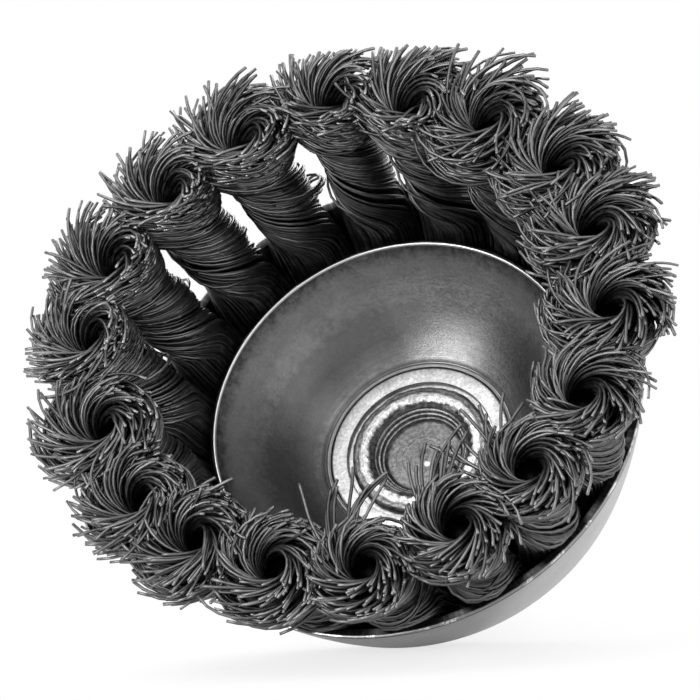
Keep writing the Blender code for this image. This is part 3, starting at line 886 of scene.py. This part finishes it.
def tubes(paths, tones, tip_tone):
    """Closed tubes along the paths: points, quads, end caps and a tone for each point."""
    wires, count = paths.shape[:2]
    tangent = np.gradient(paths, axis=1)
    tangent /= np.linalg.norm(tangent, axis=-1, keepdims=True)
    normal = np.cross(tangent[:, 0], np.array([0.3, 0.5, 0.81]))
    normal /= np.linalg.norm(normal, axis=-1, keepdims=True)
    turn = np.arange(WIRE_SIDES) * 2 * math.pi / WIRE_SIDES
    cosine, sine = np.cos(turn)[None, :, None], np.sin(turn)[None, :, None]
    rings = np.empty((wires, count, WIRE_SIDES, 3))
    for index in range(count):
        along = tangent[:, index]
        normal = normal - np.sum(normal * along, axis=-1, keepdims=True) * along
        normal /= np.linalg.norm(normal, axis=-1, keepdims=True)
        side = np.cross(along, normal)
        spokes = cosine * normal[:, None, :] + sine * side[:, None, :]
        rings[:, index] = paths[:, index, None, :] + WIRE_RADIUS * spokes
    base = np.arange(wires * count).reshape(wires, count) * WIRE_SIDES
    sides = np.arange(WIRE_SIDES)
    after = (sides + 1) % WIRE_SIDES
    low = base[:, :-1, None]
    high = base[:, 1:, None]
    quads = np.stack([low + sides, low + after, high + after, high + sides], axis=-1)
    caps = np.concatenate([base[:, 0, None] + sides[::-1], base[:, -1, None] + sides])
    tone = np.repeat(np.repeat(tones[:, None], count, axis=1)[..., None], WIRE_SIDES, axis=2)
    tone[:, -1] = tip_tone
    return rings.reshape(-1, 3), quads.reshape(-1, 4), caps, tone.reshape(-1)


def core(angle, habit):
    """Dark solid inside the wires, which closes the view through the bundle; its near-black tone is
    painted shade.
    """
    columns = np.arange(CORE_SIDES)
    turn = columns * 2 * math.pi / CORE_SIDES
    rings = []
    for height in np.linspace(*CORE_NECK, CORE_NECK_ROWS):
        rings.append(in_knot(CORE_SHARE * body_radius(turn, height), turn,
                             np.full(CORE_SIDES, height)))
    for radius, height in millimetres(CORE_CROWN):
        radii, heights = np.full(CORE_SIDES, radius), np.full(CORE_SIDES, height)
        radii = radii * reach(radii * CORE_REACH, turn, heights, habit)
        rings.append(in_knot(radii, turn, heights))
    base = np.arange(len(rings))[:, None] * CORE_SIDES
    after = (columns + 1) % CORE_SIDES
    quads = np.stack([base[:-1] + columns, base[:-1] + after, base[1:] + after,
                      base[1:] + columns], axis=-1).reshape(-1, 4)
    points = turned_by(leaned(np.concatenate(rings), habit["shift"]), angle)
    caps = [tuple(columns[::-1]), tuple((len(rings) - 1) * CORE_SIDES + columns)]
    return points, quads, caps, np.full(len(points), CORE_PAINTED_SHADE_TONE)


def mesh_from(name, parts):
    """One mesh from several (points, quads, caps, tone) parts."""
    points, faces, tones = [], [], []
    start = 0
    for part_points, quads, caps, tone in parts:
        points.append(part_points)
        faces += (quads + start).tolist()
        faces += [[int(index) + start for index in cap] for cap in caps]
        tones.append(tone)
        start += len(part_points)
    data = bpy.data.meshes.new(name)
    data.from_pydata(np.concatenate(points).tolist(), [], faces)
    paint(data, WIRE_TONE, np.concatenate(tones))
    data.shade_smooth()
    return data


def straggle(rng, habit, angle):
    """Long loose wires that bend from the crown over the dish."""
    habit = dict(habit, reach=STRAGGLE_REACH, swirl=STRAGGLE_SWIRL)
    paths = wire_paths(rng, STRAGGLES, habit)
    chosen = np.argsort(paths[:, -1, 0])[:STRAGGLES_KEPT]
    paths = trimmed(turned_by(paths[chosen], angle))
    return tubes(paths, rng.uniform(*STRAGGLE_TONES, len(paths)), STRAGGLE_TIP_TONE)


def knot_habit(rng, knot):
    """What sets one knot's wires apart from the other knots'."""
    habit = {"clumps": rng.integers(4, 9), "phase": rng.uniform(0, 6),
             "swirl": rng.uniform(0.90, 1.03), "reach": rng.uniform(-0.04, 0.03),
             "shift": np.array(SHIFTS[knot]) * MM, "inner": USUAL_DRAW,
             "girth": STOUTER if knot in STOUT_KNOTS else 0.0}
    if knot in SHORT_KNOTS:
        habit["reach"] -= SHORTER
    if knot in DRAWN_IN_KNOTS:
        habit["inner"] = DRAWN_IN
    if knot in BUSHY_KNOTS:
        habit["inner"] = BUSHY
    return habit


def make_wires(knot, material):
    """The loose wires of one knot."""
    rng = np.random.default_rng(1000 + knot)
    habit, angle = knot_habit(rng, knot), knot_angle(knot)
    # Some knots' cut ends get a brighter tone, a painted highlight
    tip_tone = PAINTED_HIGHLIGHT_TIP_TONE if knot in PAINTED_HIGHLIGHT_KNOTS else TIP_TONE
    parts = [core(angle, habit)]
    for layer in LAYERS:
        paths = trimmed(turned_by(wire_paths(rng, layer, habit), angle))
        parts.append(tubes(paths, rng.uniform(*TONES, layer.wires), tip_tone))
    if knot in STRAGGLY_KNOTS:
        parts.append(straggle(rng, habit, angle))
    name = "wires_{:02d}".format(knot + 1)
    piece = place(name, mesh_from(name, parts))
    dress(piece, material, "wire_steel", "knot_{:02d}".format(knot + 1))


# Studio

# The camera stands where the photo's did, with a long lens. Angles in degrees
CAMERA_AZIMUTH = -17.55
CAMERA_ELEVATION = 2.36
CAMERA_ROLL = 3.86
CAMERA_DISTANCE = 0.6569
CAMERA_TARGET = (-6.38 * MM, -1.26 * MM, 38.89 * MM)
CAMERA_LENS = 257.14
CAMERA_SENSOR = 36.0
CAMERA_CLIP = (0.01, 20.0)

# Each lamp: name, size, power in watts and place
LAMPS = (("top", (0.7, 0.7), 5.5, (-0.35, -0.50, 0.95)),
         ("side", (0.34, 0.14), 3.4, (-0.44, -0.76, 0.09)),
         ("fill", (0.6, 0.6), 1.6, (0.80, -0.50, 0.35)),
         ("back", (0.8, 0.4), 6.5, (-0.15, 0.75, 0.60)))
LAMP_TARGET = Vector((0.0, 0.0, 0.035))

# Strength of the world's white for diffuse light
WORLD_STRENGTH = 0.75

# The floor fades to white: distance from the middle where it is all white, and its share of white
# in the middle, for what looks at it straight and for what mirrors it
FLOOR_HALF = 3.0
FLOOR_GREY = grey(0.92)
FLOOR_FADE, FLOOR_WHITE = 0.06, 0.68
MIRRORED_FADE, MIRRORED_WHITE = 0.14, 0.10


def look(azimuth, elevation):
    """Direction from the camera to its target; azimuth 0 looks along +y."""
    azimuth, elevation = math.radians(azimuth), math.radians(elevation)
    return Vector((math.sin(azimuth) * math.cos(elevation),
                   math.cos(azimuth) * math.cos(elevation), -math.sin(elevation)))


def make_camera():
    camera = bpy.data.objects.new("camera", bpy.data.cameras.new("camera"))
    bpy.context.scene.collection.objects.link(camera)
    camera.data.lens = CAMERA_LENS
    camera.data.sensor_width = CAMERA_SENSOR
    camera.data.clip_start, camera.data.clip_end = CAMERA_CLIP
    forward = look(CAMERA_AZIMUTH, CAMERA_ELEVATION)
    roll = Matrix.Rotation(math.radians(-CAMERA_ROLL), 3, "Z").to_quaternion()
    position = Vector(CAMERA_TARGET) - forward * CAMERA_DISTANCE
    turn = forward.to_track_quat("-Z", "Y") @ roll
    camera.matrix_world = Matrix.LocRotScale(position, turn, None)
    bpy.context.scene.camera = camera


def make_lights():
    for name, size, power, position in LAMPS:
        data = bpy.data.lights.new(name, "AREA")
        data.shape = "RECTANGLE"
        data.size, data.size_y = size
        data.energy = power
        lamp = bpy.data.objects.new(name, data)
        bpy.context.scene.collection.objects.link(lamp)
        turn = (LAMP_TARGET - Vector(position)).to_track_quat("-Z", "Y")
        lamp.matrix_world = Matrix.LocRotScale(Vector(position), turn, None)


def make_world():
    """White to the camera and in reflections, softer for diffuse light."""
    world = bpy.data.worlds.new("studio")
    tree = Tree(world)
    rays = tree.add("LightPath").outputs
    seen = tree.largest(rays["Is Camera Ray"], rays["Is Glossy Ray"])
    seen = tree.largest(seen, rays["Is Transmission Ray"])
    tree.feed(tree.nodes["Background"],
              {"Color": grey(1.0), "Strength": tree.map_range(seen, 0.0, 1.0, WORLD_STRENGTH, 1.0)})
    bpy.context.scene.world = world


def floor_material():
    """Pale floor that keeps the shadow near the object and fades to white away from it."""
    material = bpy.data.materials.new("floor")
    tree = Tree(material)
    tree.nodes.remove(tree.nodes["Principled BSDF"])
    middle = tree.add("TexCoord").outputs["Object"]
    distance = tree.add("VectorMath", {0: middle}, operation="LENGTH").outputs["Value"]
    direct = tree.map_range(distance, 0.0, FLOOR_FADE, FLOOR_WHITE, 1.0)
    mirrored = tree.map_range(distance, 0.0, MIRRORED_FADE, MIRRORED_WHITE, 1.0)
    rays = tree.add("LightPath").outputs
    seen = tree.largest(rays["Is Camera Ray"], rays["Is Transmission Ray"])
    share = tree.largest(tree.times(seen, direct), tree.times(rays["Is Glossy Ray"], mirrored))
    diffuse = tree.add("BsdfDiffuse", {"Color": FLOOR_GREY}).outputs[0]
    white = tree.add("Emission", {"Strength": 1.0}).outputs[0]
    mix = tree.add("MixShader", {"Fac": share, 1: diffuse, 2: white}).outputs[0]
    tree.feed(tree.nodes["Material Output"], {"Surface": mix})
    return material


def make_floor():
    data = bpy.data.meshes.new("floor")
    corners = [(x * FLOOR_HALF, y * FLOOR_HALF, 0) for x, y in ((-1, -1), (1, -1), (1, 1), (-1, 1))]
    data.from_pydata(corners, [], [(0, 1, 2, 3)])
    data.materials.append(floor_material())
    floor = bpy.data.objects.new("floor", data)
    bpy.context.scene.collection.objects.link(floor)


def main():
    bpy.context.scene.view_settings.view_transform = "Standard"
    make_camera()
    make_world()
    make_lights()
    make_floor()
    make_cup()
    make_dish()
    make_washer()
    make_hub()

    # The hidden plate keeps its CAD mesh
    plate = frame["nodes"]["knot_ring"]
    plate.data.materials.clear()
    plate.data.materials.append(cup_material())

    wires = wire_material()
    for knot in range(KNOT_COUNT):
        make_wires(knot, wires)


main()
